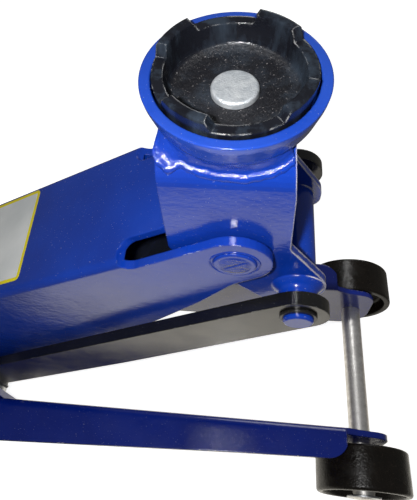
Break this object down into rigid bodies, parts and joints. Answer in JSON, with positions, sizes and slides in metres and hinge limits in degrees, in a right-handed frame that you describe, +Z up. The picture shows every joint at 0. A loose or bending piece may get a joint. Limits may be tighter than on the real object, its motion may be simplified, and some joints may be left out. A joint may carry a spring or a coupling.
{
  "type": "hydraulic trolley jack",
  "caption": "Low hydraulic trolley jack with a parallel-linkage lift arm, turning saddle cup, solid front wheels, swivel casters and a pump handle.",
  "frame": {"origin": "centre of the jack's box, on the floor", "axes": "+X forward to the front wheels, +Y to the left, +Z up; the arm is raised at rest"},
  "size_m": [0.7785, 0.198, 0.325],
  "materials": {
    "blue_enamel": "glossy",
    "black_paint": "semi-gloss",
    "black_nylon": "glossy",
    "grip_rubber": "matt",
    "plain_steel": "oiled",
    "zinc_steel": "zinc plated"
  },
  "bodies": {
    "chassis": {"side_frame_left": "blue_enamel", "side_frame_right": "blue_enamel", "pivot_cheek_left": "blue_enamel", "pivot_cheek_right": "blue_enamel", "base_plate": "blue_enamel", "front_axle": "zinc_steel", "axle_washers": "zinc_steel", "arm_shaft": "zinc_steel", "arm_shaft_rings": "plain_steel", "link_studs": "zinc_steel", "link_rings": "plain_steel", "base_block": "blue_enamel", "cylinder_tube": "plain_steel", "reservoir_tube": "blue_enamel", "end_cap": "blue_enamel", "unit_bolts": "zinc_steel", "filler_plug": "zinc_steel", "pump_barrel": "plain_steel", "spring_posts": "zinc_steel", "return_spring_left": "plain_steel", "return_spring_right": "plain_steel", "socket_pin": "zinc_steel", "caster_races": "zinc_steel", "king_bolts": "zinc_steel", "king_nuts": "zinc_steel"},
    "front_wheel_left": {"front_wheel_left": "black_nylon"},
    "front_wheel_right": {"front_wheel_right": "black_nylon"},
    "arm": {"lift_arm": "blue_enamel", "arm_pivot_tube": "plain_steel", "saddle_pin": "blue_enamel", "crank_pin": "zinc_steel"},
    "bracket": {"saddle_bracket": "blue_enamel", "saddle_dish": "blue_enamel", "link_pin": "blue_enamel", "saddle_rivet": "zinc_steel"},
    "cup": {"saddle_cup": "black_paint"},
    "link_left": {"link_left": "black_paint"},
    "link_right": {"link_right": "black_paint"},
    "ram": {"ram_rod": "zinc_steel", "ram_yoke": "plain_steel"},
    "plunger": {"pump_plunger": "zinc_steel"},
    "valve": {"release_valve": "zinc_steel"},
    "socket": {"handle_socket": "blue_enamel", "roller_pin": "zinc_steel", "clamp_screw": "zinc_steel"},
    "roller": {"pump_roller": "plain_steel"},
    "handle": {"handle_lower": "black_paint", "handle_upper": "black_paint", "snap_button": "zinc_steel", "handle_grip": "grip_rubber"},
    "caster_fork_left": {"caster_fork_left": "zinc_steel", "caster_axle_left": "zinc_steel"},
    "caster_fork_right": {"caster_fork_right": "zinc_steel", "caster_axle_right": "zinc_steel"},
    "caster_wheel_left": {"caster_wheel_left": "black_nylon"},
    "caster_wheel_right": {"caster_wheel_right": "black_nylon"}
  },
  "joints": [
    {"name": "front_wheel_left_spin", "type": "hinge", "parent": "chassis", "child": "front_wheel_left", "pos_m": [0.35925, 0.0623, 0.03], "axis": [0, 1, 0], "continuous": true},
    {"name": "front_wheel_right_spin", "type": "hinge", "parent": "chassis", "child": "front_wheel_right", "pos_m": [0.35925, -0.0653, 0.03], "axis": [0, 1, 0], "continuous": true},
    {"name": "arm_lift", "type": "hinge", "parent": "chassis", "child": "arm", "pos_m": [0.08415, 0, 0.1077], "axis": [0, 1, 0], "range_deg": [0, 45.8], "deforming": ["return_spring_left", "return_spring_right"]},
    {"name": "saddle_level", "type": "hinge", "parent": "arm", "child": "bracket", "pos_m": [0.27379, 0, 0.2548], "axis": [0, 1, 0], "range_deg": [-45.8, 0]},
    {"name": "link_left_swing", "type": "hinge", "parent": "chassis", "child": "link_left", "pos_m": [0.10925, 0.0343, 0.0803], "axis": [0, 1, 0], "range_deg": [0, 45.8]},
    {"name": "link_right_swing", "type": "hinge", "parent": "chassis", "child": "link_right", "pos_m": [0.10925, -0.0343, 0.0803], "axis": [0, 1, 0], "range_deg": [0, 45.8]},
    {"name": "saddle_turn", "type": "hinge", "parent": "bracket", "child": "cup", "pos_m": [0.27229, 0, 0.3118], "axis": [0, 0, 1], "continuous": true},
    {"name": "ram_stroke", "type": "slide", "parent": "chassis", "child": "ram", "axis": [1, 0, 0], "range_m": [-0.04679, 0]},
    {"name": "socket_pump", "type": "hinge", "parent": "chassis", "child": "socket", "pos_m": [-0.02875, 0, 0.092], "axis": [0, 1, 0], "range_deg": [0, 50]},
    {"name": "roller_spin", "type": "hinge", "parent": "socket", "child": "roller", "pos_m": [-0.04573, 0, 0.08304], "axis": [0, 1, 0], "continuous": true},
    {"name": "plunger_stroke", "type": "slide", "parent": "chassis", "child": "plunger", "axis": [0, 0, 1], "range_m": [0, 0.01631]},
    {"name": "handle_pull", "type": "slide", "parent": "socket", "child": "handle", "axis": [-0.9063, 0, 0.4226], "range_m": [0, 0.06]},
    {"name": "valve_turn", "type": "hinge", "parent": "chassis", "child": "valve", "pos_m": [-0.06075, 0, 0.034], "axis": [1, 0, 0], "range_deg": [-180, 0]},
    {"name": "caster_left_swivel", "type": "hinge", "parent": "chassis", "child": "caster_fork_left", "pos_m": [0.00425, 0.083, 0.057], "axis": [0, 0, 1], "continuous": true},
    {"name": "caster_right_swivel", "type": "hinge", "parent": "chassis", "child": "caster_fork_right", "pos_m": [0.00425, -0.083, 0.057], "axis": [0, 0, 1], "continuous": true},
    {"name": "caster_left_spin", "type": "hinge", "parent": "caster_fork_left", "child": "caster_wheel_left", "pos_m": [-0.00775, 0.083, 0.019], "axis": [0, 1, 0], "continuous": true},
    {"name": "caster_right_spin", "type": "hinge", "parent": "caster_fork_right", "child": "caster_wheel_right", "pos_m": [-0.00775, -0.083, 0.019], "axis": [0, 1, 0], "continuous": true}
  ],
  "couplings": [
    {"joint": "saddle_level", "follows": "arm_lift", "ratio": -1},
    {"joint": "link_left_swing", "follows": "arm_lift", "ratio": 1},
    {"joint": "link_right_swing", "follows": "arm_lift", "ratio": 1},
    {"joint": "ram_stroke", "follows": "arm_lift", "m_per_rad": -0.058415},
    {"joint": "plunger_stroke", "follows": "socket_pump", "m_per_rad": 0.018574}
  ]
}
